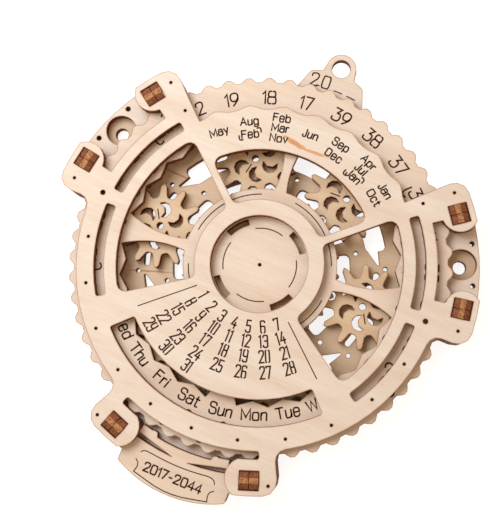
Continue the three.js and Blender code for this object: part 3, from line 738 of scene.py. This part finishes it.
# Letters of the months and the days
BOWL = ((0, 0.5), (0.1, 0.72), (0.5, 0.74), (0.5, -0.04), (0.1, -0.02), (0, 0.18))
BOWL_LEFT = tuple((0.5 - x, y) for x, y in BOWL)
ARCH = ((0, 0.42), (0.08, 0.7), (0.46, 0.74), (0.46, 0.4))
LETTERS = {
    "A": Glyph(0.66, lines=(((0, 0), (0.33, 1), (0.66, 0)), ((0.13, 0.34), (0.53, 0.34)))),
    "D": Glyph(
        0.62,
        lines=(((0.02, 0.9), (0.02, 0.08)),),
        curves=(((0.08, 1), (0.58, 1), (0.62, 0.5), (0.58, 0), (0.08, 0)),),
    ),
    "F": Glyph(0.52, lines=(((0.5, 1), (0, 1), (0, 0)), ((0, 0.53), (0.42, 0.53)))),
    "J": Glyph(0.36, curves=(((0.34, 1), (0.34, 0.5), (0.36, -0.06), (0, -0.08), (0, 0.2)),)),
    "M": Glyph(0.74, lines=(((0, 0), (0, 1), (0.37, 0.22), (0.74, 1), (0.74, 0)),)),
    "N": Glyph(0.6, lines=(((0, 0), (0, 1), (0.6, 0), (0.6, 1)),)),
    "O": Glyph(
        0.68,
        curves=(
            ((0.28, 1), (0, 1), (0, 0), (0.28, 0)),
            ((0.4, 1), (0.68, 1), (0.68, 0), (0.4, 0)),
        ),
    ),
    "S": Glyph(
        0.58,
        curves=(
            (
                (0.54, 0.78), (0.5, 1.04), (0, 1.06), (0.02, 0.54), (0.56, 0.56), (0.6, -0.06),
                (0.04, -0.06), (0, 0.24),
            ),
        ),
    ),
    "T": Glyph(0.62, lines=(((0, 1), (0.62, 1)), ((0.31, 1), (0.31, 0)))),
    "W": Glyph(0.88, lines=(((0, 1), (0.2, 0), (0.44, 0.9), (0.68, 0), (0.88, 1)),)),
    "a": Glyph(
        0.48,
        curves=(
            ((0.04, 0.6), (0.1, 0.75), (0.48, 0.77), (0.48, 0.45), (0.48, 0)),
            ((0.48, 0.42), (0.3, 0.44), (-0.02, 0.42), (-0.02, -0.04), (0.34, -0.08), (0.48, 0.14)),
        ),
    ),
    "b": Glyph(0.5, lines=(((0, 1), (0, 0)),), curves=(BOWL,)),
    "c": Glyph(
        0.46,
        curves=(((0.46, 0.54), (0.38, 0.76), (0, 0.74), (0, -0.06), (0.38, -0.08), (0.46, 0.14)),),
    ),
    "d": Glyph(0.5, lines=(((0.5, 1), (0.5, 0)),), curves=(BOWL_LEFT,)),
    "e": Glyph(
        0.5,
        lines=(((0.02, 0.36), (0.49, 0.36)),),
        curves=(
            (
                (0.49, 0.36), (0.48, 0.74), (0.02, 0.78), (0, 0.2), (0.06, -0.08), (0.42, -0.06),
                (0.48, 0.14),
            ),
        ),
    ),
    "g": Glyph(
        0.5,
        lines=(((0.5, 0.68), (0.5, 0.1)),),
        curves=(BOWL_LEFT, ((0.5, 0.1), (0.5, -0.3), (0.1, -0.32), (0.04, -0.2))),
    ),
    "h": Glyph(0.46, lines=(((0, 1), (0, 0)), ((0.46, 0.4), (0.46, 0))), curves=(ARCH,)),
    "i": Glyph(0.06, lines=(((0.03, 0.68), (0.03, 0)), ((0.03, 0.95), (0.03, 0.86)))),
    "l": Glyph(0.06, lines=(((0.03, 1), (0.03, 0)),)),
    "n": Glyph(0.46, lines=(((0, 0.68), (0, 0)), ((0.46, 0.4), (0.46, 0))), curves=(ARCH,)),
    "o": Glyph(
        0.52,
        curves=(
            ((0.22, 0.7), (0, 0.7), (0, -0.02), (0.22, -0.02)),
            ((0.3, 0.7), (0.52, 0.7), (0.52, -0.02), (0.3, -0.02)),
        ),
    ),
    "p": Glyph(0.5, lines=(((0, 0.68), (0, -0.28)),), curves=(BOWL,)),
    "r": Glyph(0.3, lines=(((0, 0.68), (0, 0)),), curves=(((0, 0.4), (0.06, 0.7), (0.3, 0.68)),)),
    "t": Glyph(
        0.36,
        lines=(((0, 0.68), (0.34, 0.68)),),
        curves=(((0.14, 0.95), (0.14, 0.3), (0.14, -0.04), (0.36, 0)),),
    ),
    "u": Glyph(
        0.46,
        lines=(((0.46, 0.68), (0.46, 0)), ((0, 0.68), (0, 0.28))),
        curves=(tuple((0.46 - x, 0.68 - y) for x, y in ARCH),),
    ),
    "v": Glyph(0.46, lines=(((0, 0.68), (0.23, 0), (0.46, 0.68)),)),
    "y": Glyph(0.46, lines=(((0, 0.68), (0.25, 0.02)), ((0.46, 0.68), (0.14, -0.28)))),
    "(": Glyph(
        0.06,
        curves=(((-0.04, 0.36), (-0.04, 0), (0.04, -0.2), (0.24, -0.26), (0.4, -0.2)),),
    ),
    ")": Glyph(0.06, curves=(((0.1, 0.64), (0.1, 1), (0.02, 1.2), (-0.18, 1.26), (-0.34, 1.2)),)),
}


@dataclass(frozen=True)
class Lettering:
    """How a set of words is cut.

    The height is a capital's in millimetres, the gap between characters a share of it, and the
    stretch how much wider than drawn the characters are.
    """

    glyphs: dict[str, Glyph]
    height: float
    facing: Facing
    gap: float = 0.2
    stretch: float = 1.0


@dataclass
class Engraving:
    """Laser lines on one face, gathered into one thin mesh that rides with its piece."""

    name: str
    layer: Layer
    body: str
    slot: str
    stroke: float
    lift: float = 0.02
    smoothing: int = 2
    corner_share: float = 0.25
    arc_step: float = 3.0
    # Steps under this part of half a line are left out, a turn sharper than the fold limit
    # has no mitre, and a mitre is at most the inverse of the mitre limit long
    finest: int = 20
    fold_limit: float = 0.2
    mitre_limit: float = 0.5
    # The round end's reach and half width, as shares of half the line
    cap_reach: float = 0.8
    cap_half: float = 0.6
    strokes: list[tuple[list[Point], float]] = field(default_factory=list)

    def path(self, points: list[Point], width: float | None = None) -> None:
        """Adds one line through points, in millimetres, at its own width if one is given."""
        self.strokes.append((list(points), width or self.stroke))

    def arc(self, radius: float, middle: float, half: float) -> None:
        """Adds an arc round the dial's axis, by its middle angle and half of its span."""
        start, end = middle - half, middle + half
        count = round((end - start) / self.arc_step)
        span = [start + (end - start) * step / count for step in range(count + 1)]
        self.path([polar(radius, angle) for angle in span])

    def rounded(self, points: Sequence[Point]) -> list[Point]:
        """Cuts the corners of a path again and again until it reads as a curve.

        Args:
            points: The path's corners.

        Returns:
            A finer path with the same ends.
        """
        near, far = 1 - self.corner_share, self.corner_share
        current = list(points)
        for _ in range(self.smoothing):
            finer = [current[0]]
            for (ax, ay), (bx, by) in zip(current, current[1:]):
                finer.append((near * ax + far * bx, near * ay + far * by))
                finer.append((far * ax + near * bx, far * ay + near * by))
            finer.append(current[-1])
            current = finer
        return current

    def word(self, text: str, style: Lettering, angle: float, radius: float) -> None:
        """Lays one word straight across its own radius, as a table of glyph strokes.

        Args:
            text: The characters.
            style: How they are cut.
            angle: The word's middle, in degrees round the dial.
            radius: The distance of the word's middle from the axis, in millimetres.
        """
        glyphs = [style.glyphs[letter] for letter in text]
        span = sum(glyph.width for glyph in glyphs) + style.gap * (len(text) - 1)
        cursor = -span / 2
        up = Vector(polar(1.0, angle)) * style.facing.value
        right = Vector((up.y, -up.x))
        middle = Vector(polar(radius, angle))
        for glyph in glyphs:
            shapes = [list(path) for path in glyph.lines]
            shapes += [self.rounded(path) for path in glyph.curves]
            for shape in shapes:
                placed = []
                for x, y in shape:
                    spot = middle + right * (cursor + x) * style.height * style.stretch
                    spot += up * (y - 0.5) * style.height
                    placed.append((spot.x, spot.y))
                self.path(placed)
            cursor += glyph.width + style.gap

    def build(self, material: Material) -> None:
        """Makes the mesh of all lines and puts it on its piece.

        Args:
            material: The charred material.
        """
        shape = bmesh.new()
        for points, width in self.strokes:
            self._ribbon(shape, points, width / 2)
        piece = add_object(self.name, shape, material)
        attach(piece, self.body)
        LOG.info("%s: %d lines on %s", self.name, len(self.strokes), self.body)

    def _ribbon(self, shape: Shape, points: list[Point], half: float) -> None:
        """Adds one flat line with round ends.

        Args:
            shape: The mesh that the line joins.
            points: The line's middle, in millimetres.
            half: Half of the line's width in millimetres.
        """
        line = [Vector(point) for point in points]
        steps = zip(line, line[1:])
        line = [line[0]] + [b for a, b in steps if (b - a).length > half / self.finest]
        left, right = [], []
        for index, spot in enumerate(line):
            before = (spot - line[index - 1]).normalized() if index else None
            after = (line[index + 1] - spot).normalized() if index + 1 < len(line) else None
            along = (before or after) + (after or before)
            folded = along.length <= self.fold_limit
            along = (before or after) if folded else along.normalized()
            across = Vector((-along.y, along.x))
            lean = abs(across.dot(Vector((-(after or before).y, (after or before).x))))
            side = across * half / max(lean, self.mitre_limit)
            left.append(self._corner(shape, spot + side))
            right.append(self._corner(shape, spot - side))
        for index in range(len(line) - 1):
            shape.faces.new((left[index], right[index], right[index + 1], left[index + 1]))
        self._cap(shape, line[0], line[1], half, (right[0], left[0]))
        self._cap(shape, line[-1], line[-2], half, (left[-1], right[-1]))

    def _corner(self, shape: Shape, spot: Vector) -> Corner:
        """Adds one corner at the lines' height, from its place in millimetres."""
        return shape.verts.new((*(spot * MM), (self.layer.value + self.lift) * MM))

    def _cap(
        self, shape: Shape, end: Vector, inner: Vector, half: float, corners: tuple[Corner, Corner]
    ) -> None:
        """Rounds one end of a line.

        Args:
            shape: The mesh that the end joins.
            end: The line's last point, in millimetres.
            inner: The point before it.
            half: Half of the line's width.
            corners: The corners where the round end starts and stops.
        """
        out = (end - inner).normalized()
        side = Vector((-out.y, out.x)) * half * self.cap_half
        tip = end + out * half * self.cap_reach
        near, far = self._corner(shape, tip - side), self._corner(shape, tip + side)
        shape.faces.new((corners[0], far, near, corners[1]))


def dress(frame: dict, nodes: Sequence[str], material: Material) -> None:
    """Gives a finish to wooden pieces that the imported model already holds."""
    for name in nodes:
        slots = frame["nodes"][name].data.materials
        slots.clear()
        slots.append(material)
        LOG.info("%s dressed in %s", name, material.name)


@dataclass
class Assembly:
    """Pieces of the calendar that share one finish, and the lines engraved on them."""

    nodes: tuple[str, ...] = ()

    def build(self, frame: dict, plywood: Material, char: Material) -> None:
        """Dresses the pieces and engraves them.

        Args:
            plywood: The pieces' finish.
            char: The engraved lines' material.
        """
        dress(frame, self.nodes, plywood)
        for lines in self.engravings():
            lines.build(char)

    def engravings(self) -> list[Engraving]:
        """Returns the lines on these pieces, which are none unless a class has its own."""
        return []


@dataclass
class FrontPlate(Assembly):
    """The fixed cover with the months above, the dates below and the windows round them."""

    nodes: tuple[str, ...] = ("front_plate",)
    column_step: float = FULL_TURN / LABELS
    month_style: Lettering = Lettering(LETTERS, 2.45, Facing.OUTWARD, 0.22, 1.15)
    month_stroke: float = 0.5
    # The rows of a column of no, one, two and three names
    month_rows: tuple[tuple[float, ...], ...] = ((), (45.5,), (47.1, 42.8), (48.5, 45.1, 41.7))
    months: tuple[tuple[str, ...], ...] = (
        ("May",),
        ("Aug", "(Feb)"),
        ("Feb", "Mar", "Nov"),
        ("Jun",),
        ("Sep", "Dec"),
        ("Apr", "Jul", "(Jan)"),
        ("Jan", "Oct"),
    )
    month_middle: float = 90.5
    date_style: Lettering = Lettering(NARROW, 3.8, Facing.INWARD, 0.12)
    date_stroke: float = 0.52
    date_rows: tuple[float, ...] = (20.4, 25.05, 29.85, 34.95, 39.8)
    date_middle: float = 270.0
    days_in_month: int = 31
    days_in_week: int = 7
    rule_angle: float = 48.8
    rule_inner: float = 21.2
    rule_outer: float = 41.2
    rule_stroke: float = 0.34

    def engravings(self) -> list[Engraving]:
        """Returns the months and the dates."""
        return [self._months(), self._dates()]

    def _months(self) -> Engraving:
        """Returns the seven columns of month names, tops outward."""
        words = Engraving("month_names", Layer.FRONT, "frame", "face_ply", self.month_stroke)
        middle = len(self.months) // 2
        for column, names in enumerate(self.months):
            angle = self.month_middle + (middle - column) * self.column_step
            for radius, name in zip(self.month_rows[len(names)], names):
                words.word(name, self.month_style, angle, radius)
        return words

    def _dates(self) -> Engraving:
        """Returns the dates in seven columns, tops toward the centre, between two rules."""
        words = Engraving("date_numbers", Layer.FRONT, "frame", "face_ply", self.date_stroke)
        middle = self.days_in_week // 2
        for day in range(self.days_in_month):
            row, column = divmod(day, self.days_in_week)
            angle = self.date_middle + (column - middle) * self.column_step
            words.word(str(day + 1), self.date_style, angle, self.date_rows[row])
        for side in (-1, 1):
            angle = self.date_middle + side * self.rule_angle
            ends = [polar(radius, angle) for radius in (self.rule_inner, self.rule_outer)]
            words.path(ends, self.rule_stroke)
        return words


@dataclass
class CalendarWheel(Assembly):
    """The turning dial with 28 years round its rim and 28 weekday names inside them."""

    nodes: tuple[str, ...] = ("calendar_wheel",)
    label_step: float = FULL_TURN / LABELS
    year_first: float = 96.2
    year_radius: float = 55.85
    year_style: Lettering = Lettering(ROUND, 4.2, Facing.OUTWARD)
    year_stroke: float = 0.56
    years: tuple[int, ...] = (
        *(17, 18, 19, 42, 20, 21, 22),
        *(23, 40, 24, 25, 26, 27, 44),
        *(28, 29, 30, 31, 43, 32, 33),
        *(34, 35, 41, 36, 37, 38, 39),
    )
    bracketed: tuple[int, ...] = (20, 24, 28, 32, 36, 40, 44)
    day_first: float = 277.35
    day_radius: float = 48.2
    day_style: Lettering = Lettering(LETTERS, 3.4, Facing.INWARD, stretch=1.12)
    day_stroke: float = 0.55
    days: tuple[str, ...] = ("Sun", "Mon", "Tue", "Wed", "Thu", "Fri", "Sat")
    # The four thin arcs round the hub's middle, and the four outside them, each halfway
    # between two inner ones
    inner_arc: float = 12.0
    inner_half: float = 22.0
    outer_arc: float = 23.3
    outer_half: float = 30.5
    arc_stroke: float = 0.36
    turn: float = 6.4286
    quarters: int = 4

    def engravings(self) -> list[Engraving]:
        """Returns the years, the weekday names and the arcs round the hub."""
        return [self._years(), self._days(), self._rings()]

    def _years(self) -> Engraving:
        """Returns the years round the rim, tops outward, with leap years in brackets."""
        lines = Engraving("year_numbers", Layer.DIAL, "wheel", "wheel_ply", self.year_stroke)
        for index, year in enumerate(self.years):
            angle = self.year_first + index * self.label_step
            text = f"({year})" if year in self.bracketed else str(year)
            lines.word(text, self.year_style, angle, self.year_radius)
        return lines

    def _days(self) -> Engraving:
        """Returns the weekday names inside the years, tops toward the centre."""
        lines = Engraving("weekday_names", Layer.DIAL, "wheel", "wheel_ply", self.day_stroke)
        for index in range(LABELS):
            angle = self.day_first + index * self.label_step
            name = self.days[index % len(self.days)]
            lines.word(name, self.day_style, angle, self.day_radius)
        return lines

    def _rings(self) -> Engraving:
        """Returns the thin arcs round the hub's middle."""
        lines = Engraving("hub_rings", Layer.DIAL, "wheel", "wheel_ply", self.arc_stroke)
        step = FULL_TURN / self.quarters
        for quarter in range(self.quarters):
            middle = self.turn + quarter * step
            lines.arc(self.inner_arc, middle, self.inner_half)
            lines.arc(self.outer_arc, middle + step / 2, self.outer_half)
        return lines


@dataclass
class GearTrain(Assembly):
    """The sun, the six planets and the loose ring that show through the windows."""

    nodes: tuple[str, ...] = ("sun_gear", "ring_gear", *(f"planet_gear_{n}" for n in PLANETS))
    planet_circle: float = 36.0
    planet_angles: tuple[float, ...] = (0.0, 60.0, 115.0, 180.0, 240.0, 300.0)
    mark_angles: tuple[float, ...] = (300.5, 181.3, 258.5, 120.5, 60.0, 0.0)
    mark_inner: float = 2.4
    mark_outer: float = 5.6
    mark_stroke: float = 0.4

    def engravings(self) -> list[Engraving]:
        """Returns one setting line for each planet."""
        lines = []
        for number, angle, mark in zip(PLANETS, self.planet_angles, self.mark_angles):
            name, body = f"planet_mark_{number}", f"planet_{number}"
            line = Engraving(name, Layer.GEARS, body, "gear_ply", self.mark_stroke)
            x, y = polar(self.planet_circle, angle)
            ends = [polar(radius, mark) for radius in (self.mark_inner, self.mark_outer)]
            line.path([(x + dx, y + dy) for dx, dy in ends])
            lines.append(line)
        return lines


@dataclass
class Housing(Assembly):
    """The gear housing, whose tab at the top carries the century and its dashes."""

    nodes: tuple[str, ...] = ("housing_plate",)
    figure_style: Lettering = Lettering(ROUND, 4.2, Facing.OUTWARD)
    figure_stroke: float = 0.5
    figure_radius: float = 65.35
    two_angle: float = 96.1
    nought_angle: float = 92.6
    dash_radius: float = 63.6
    dash_stroke: float = 0.4
    dashes: tuple[Point, ...] = ((89.5, 87.0), (85.4, 82.7), (95.2, 94.3))

    def engravings(self) -> list[Engraving]:
        """Returns the tab's figures and dashes."""
        lines = Engraving("century_figures", Layer.GEARS, "frame", "face_ply", self.figure_stroke)
        for figure, angle in (("2", self.two_angle), ("0", self.nought_angle)):
            lines.word(figure, self.figure_style, angle, self.figure_radius)
        for dash in self.dashes:
            lines.path([polar(self.dash_radius, angle) for angle in dash], self.dash_stroke)
        return [lines]


@dataclass
class SpringPlate(Assembly):
    """The bottom plate with the leaf spring and the tab that names the dial's years.

    The frame round the years is a shallow arc with a curl at each end, two brackets and a
    bowed base line that joins their feet.
    """

    nodes: tuple[str, ...] = ("spring_plate",)
    text: str = "2017-2044"
    text_style: Lettering = Lettering(ROUND, 2.8, Facing.INWARD, stretch=1.1)
    text_stroke: float = 0.54
    text_radius: float = 73.4
    text_angle: float = 270.15
    frame_stroke: float = 0.34
    frame_shift: float = 0.45
    top_arc: float = 69.5
    top_start: float = 262.6
    top_end: float = 278.9
    top_steps: int = 10
    left_curl: Path = ((-12.4, -69.7), (-11.6, -68.8))
    right_curl: Path = ((12.6, -69.0), (13.4, -70.3))
    bracket: Path = ((13.5, -72.3), (12.3, -73.2), (12.2, -74.6))
    corner_x: float = 12.7
    corner_y: float = 76.2
    bottom_drop: float = 77.6

    def engravings(self) -> list[Engraving]:
        """Returns the tab's figures and the frame round them."""
        figures = Engraving("tab_figures", Layer.DIAL, "frame", "face_ply", self.text_stroke)
        figures.word(self.text, self.text_style, self.text_angle, self.text_radius)
        border = Engraving("tab_frame", Layer.DIAL, "frame", "face_ply", self.frame_stroke)
        turn = self.top_end - self.top_start
        span = [self.top_start + turn * n / self.top_steps for n in range(self.top_steps + 1)]
        top = (polar(self.top_arc, angle) for angle in span)
        border.path(border.rounded((*self.left_curl, *top, *self.right_curl)))
        foot = (self.corner_x, -self.corner_y)
        for side in (-1, 1):
            half = [(side * x + self.frame_shift, y) for x, y in (*self.bracket, foot)]
            border.path(border.rounded(half))
        sag = (self.frame_shift, -2 * self.bottom_drop + self.corner_y)
        left, right = ((side * foot[0] + self.frame_shift, foot[1]) for side in (-1, 1))
        border.path(border.rounded((left, sag, right)))
        return [figures, border]


@dataclass
class Spacers(Assembly):
    """The loose pieces that fill the dial's layer beside it."""

    nodes: tuple[str, ...] = (
        "right_spacer",
        "left_spacer",
        "right_lower_spacer",
        "left_lower_spacer",
    )


@dataclass
class BackPlate(Assembly):
    """The plate that closes the calendar behind the gears."""

    nodes: tuple[str, ...] = ("back_plate",)


@dataclass
class Pegs:
    """Six split pegs that pin the layers, seen on their cut ends.

    The slit where the halves of a peg meet is covered by a dark strip of painted shade, which
    closes the view down between them.
    """

    names: tuple[str, ...] = (
        "right_upper",
        "right_lower",
        "left_upper",
        "left_lower",
        "bottom_left",
        "bottom_right",
    )
    halves: tuple[str, ...] = ("a", "b")
    # Half the length and the width of each strip of painted shade over a peg's slit, in millimetres
    seam_half: float = 2.8
    seam_width: float = 0.5

    def build(self, frame: dict, char: Material) -> None:
        """Dresses each peg with its plies across the dial's radius.

        Args:
            char: The material of the strips of painted shade over the slits.
        """
        # A dark strip of painted shade over the slit between each peg's halves, drawn in the char
        # material
        slit_shade = Engraving("peg_slit_shade", Layer.FRONT, "frame", "peg_ply", self.seam_width)
        for name in self.names:
            nodes = [f"peg_{name}_{half}" for half in self.halves]
            corners = [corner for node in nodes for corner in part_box(node)]
            x = (min(c.x for c in corners) + max(c.x for c in corners)) / 2 / MM
            y = (min(c.y for c in corners) + max(c.y for c in corners)) / 2 / MM
            turn = math.degrees(math.atan2(y, x))
            finish = PegEndGrain(f"birch_ply_end_grain_{name}", turn, (x, y))
            dress(frame, nodes, finish.material())
            middle = math.hypot(x, y)
            ends = (middle - self.seam_half, middle + self.seam_half)
            slit_shade.path([polar(radius, turn) for radius in ends])
        slit_shade.build(char)


@dataclass
class Studio:
    """A white table, one broad soft lamp from the upper left and an even white room."""

    table_half: float = 1500.0
    table_drop: float = 0.05
    room: float = 0.56
    room_tint: str = "FFE3C4"
    seen_tint: str = "FFFFFF"
    lamp_power: float = 1.4
    lamp_width: float = 300.0
    lamp_place: Place = (-230.0, 75.0, 350.0)
    lamp_tint: str = "F2F7FF"

    def build(self) -> None:
        """Makes the table, the room and the lamp."""
        self._table()
        self._room()
        self._lamp()

    def _table(self) -> None:
        """Makes the table top as one flat sheet just under the calendar."""
        shape = bmesh.new()
        half, drop = self.table_half * MM, self.table_drop * MM
        corners = ((-half, -half), (half, -half), (half, half), (-half, half))
        shape.faces.new([shape.verts.new((x, y, -drop)) for x, y in corners])
        table = add_object("table", shape, StudioWhite().material())
        LOG.info("table laid")

    def _room(self) -> None:
        """Lights the world with a warm even light, and shows it plain white."""
        world = bpy.data.worlds.new("white_room")
        world.use_nodes = True
        tree = world.node_tree
        tree.nodes.clear()
        seen = add_node(tree, "ShaderNodeLightPath").outputs["Is Camera Ray"]
        levels = {0: seen, **dict(zip(MIX_NUMBERS, (self.room, 1.0)))}
        strength = add_node(tree, "ShaderNodeMix", levels).outputs[0]
        colour = mix(tree, seen, self.room_tint, self.seen_tint)
        light = {"Color": colour, "Strength": strength}
        background = add_node(tree, "ShaderNodeBackground", light).outputs[0]
        add_node(tree, "ShaderNodeOutputWorld", {"Surface": background})
        bpy.context.scene.world = world
        LOG.info("room lit")

    def _lamp(self) -> None:
        """Hangs the soft lamp and turns it to the dial."""
        lamp = bpy.data.lights.new("soft_lamp", "AREA")
        lamp.shape = "DISK"
        lamp.size = self.lamp_width * MM
        lamp.energy = self.lamp_power
        lamp.color = linear(self.lamp_tint)[:3]
        holder = bpy.data.objects.new("soft_lamp", lamp)
        place = Vector(self.lamp_place) * MM
        holder.location = place
        holder.rotation_euler = (-place).to_track_quat("-Z", "Y").to_euler()
        bpy.context.scene.collection.objects.link(holder)
        LOG.info("lamp hung")


@dataclass
class Viewpoint:
    """The camera over the dial, a little below its middle and turned with the calendar."""

    place: Place = (37.489, -24.577, 347.462)
    tilt: tuple[float, float, float] = (7.0227, 2.1224, 22.0935)
    sensor: float = 36.0
    lens: float = 76.955
    shift: Point = (-0.1113, -0.0215)
    nearest: float = 10.0

    def build(self) -> None:
        """Makes the camera and gives it to the scene."""
        camera = bpy.data.cameras.new("camera")
        camera.sensor_fit = "HORIZONTAL"
        camera.sensor_width = self.sensor
        camera.lens = self.lens
        camera.shift_x, camera.shift_y = self.shift
        camera.clip_start = self.nearest * MM
        holder = bpy.data.objects.new("camera", camera)
        holder.location = Vector(self.place) * MM
        holder.rotation_euler = Euler([math.radians(angle) for angle in self.tilt])
        bpy.context.scene.collection.objects.link(holder)
        bpy.context.scene.camera = holder
        bpy.context.scene.view_settings.view_transform = "Standard"
        LOG.info("camera placed")


def main() -> None:
    """Builds the whole scene, piece by piece."""
    logging.basicConfig(level=logging.INFO, format="%(name)s: %(message)s")
    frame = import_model()
    Viewpoint().build()
    Studio().build()
    char = LaserChar().material()
    # The dial, gear and back sheets are darker and more yellow than the cover, the deeper the
    # darker: partly the sheets' own tone and partly painted shade of their places under the cover.
    cover = BirchPlywood("birch_ply_cover", "F1E8DC", "E4D1BE", streaks=KNOT).material()
    dial = BirchPlywood("birch_ply_dial", "F1E3D3", "E3CEB8", fibre=LONG_FIBRE).material()
    gears = BirchPlywood("birch_ply_gears", "EBD4B6", "D9BD9A").material()
    back = BirchPlywood("birch_ply_back", "EAD2B5", "D9BD9C", streaks=HEARTWOOD).material()
    FrontPlate().build(frame, cover, char)
    CalendarWheel().build(frame, dial, char)
    GearTrain().build(frame, gears, char)
    Housing().build(frame, cover, char)
    SpringPlate().build(frame, dial, char)
    Spacers().build(frame, dial, char)
    BackPlate().build(frame, back, char)
    Pegs().build(frame, char)


if __name__ == "__main__":
    main()
